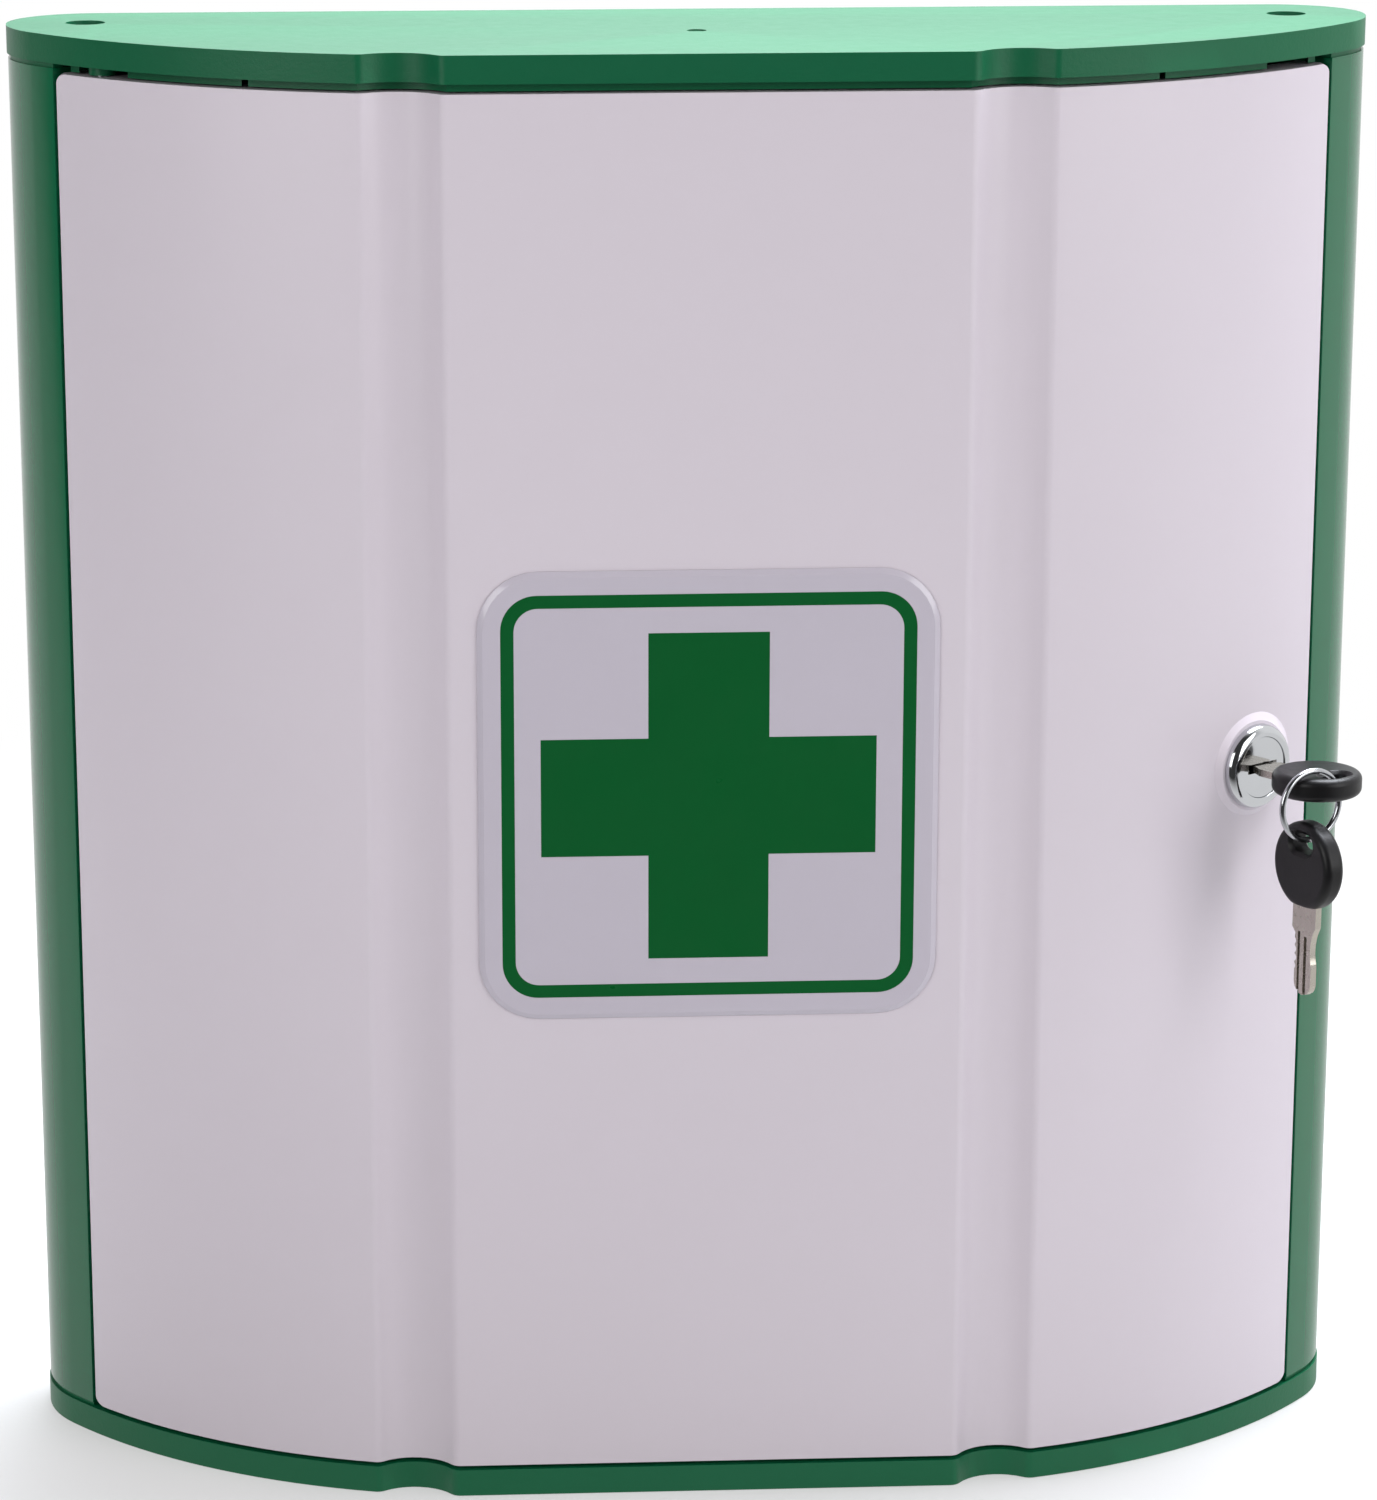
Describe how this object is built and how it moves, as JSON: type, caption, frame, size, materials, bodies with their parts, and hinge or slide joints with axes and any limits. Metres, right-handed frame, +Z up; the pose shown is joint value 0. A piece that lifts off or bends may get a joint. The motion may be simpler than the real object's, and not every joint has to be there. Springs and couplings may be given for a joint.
{
  "type": "lockable medicine cabinet",
  "caption": "Wall-hung medicine cabinet with a curved green case, shelves behind a bowed white door marked with a green cross, and a keyed cam lock with a spare key on a ring.",
  "frame": {"origin": "middle of the underside of the bottom cap, halfway across its width and its depth", "axes": "+X to the right seen from the front, +Y towards the wall, +Z up"},
  "size_m": [0.346, 0.1042, 0.37],
  "materials": {
    "case_gloss": "glossy green, moulded",
    "cap_matt": "fine satin grain, green",
    "door_white": "smooth white with a cool tint",
    "label_resin": "clear dome over a white ground",
    "shelf_white": "plain white",
    "zinc_steel": "zinc plated",
    "bright_chrome": "polished plating",
    "wafer_brass": "stamped sheet",
    "key_steel": "nickel plated, milled",
    "key_black": "black, moulded with rounded edges",
    "ring_steel": "drawn spring wire"
  },
  "bodies": {
    "cabinet": {"body_shell": "case_gloss", "top_cap": "cap_matt", "bottom_cap": "cap_matt", "top_cap_screws": "zinc_steel", "bottom_cap_screws": "zinc_steel", "shelf_upper": "shelf_white", "shelf_lower": "shelf_white", "hinge_pin_upper": "zinc_steel", "hinge_pin_lower": "zinc_steel"},
    "door": {"door_panel": "door_white", "door_label": "label_resin", "lock_housing": "bright_chrome", "lock_washer": "zinc_steel", "lock_nut": "zinc_steel"},
    "lock_plug": {"lock_plug": "bright_chrome", "wafer_tumblers": "wafer_brass", "stop_washer": "zinc_steel", "lock_cam": "zinc_steel", "cam_screw": "zinc_steel"},
    "key": {"key_blade": "key_steel", "key_head": "key_black"},
    "key_ring": {"key_ring": "ring_steel"},
    "spare_key": {"spare_key_blade": "key_steel", "spare_key_head": "key_black"}
  },
  "joints": [
    {"name": "door_hinge", "type": "hinge", "parent": "cabinet", "child": "door", "pos_m": [-0.14752, -0.00532, 0.18435], "axis": [0, 0, -1], "range_deg": [0, 120]},
    {"name": "lock_turn", "type": "hinge", "parent": "door", "child": "lock_plug", "pos_m": [0.14293, -0.01793, 0.1834], "axis": [-0.5932, 0.8051, 0], "range_deg": [0, 90]},
    {"name": "key_pull", "type": "slide", "parent": "lock_plug", "child": "key", "axis": [0.5932, -0.8051, 0], "range_m": [0, 0.018]},
    {"name": "ring_swing", "type": "hinge", "parent": "key", "child": "key_ring", "pos_m": [0.15288, -0.04337, 0.1834], "axis": [0.4599, -0.888, 0], "range_deg": [-25, 16]},
    {"name": "spare_key_swing", "type": "hinge", "parent": "key_ring", "child": "spare_key", "pos_m": [0.15288, -0.04337, 0.1704], "axis": [0.888, 0.4599, 0], "range_deg": [-40, 25]}
  ]
}
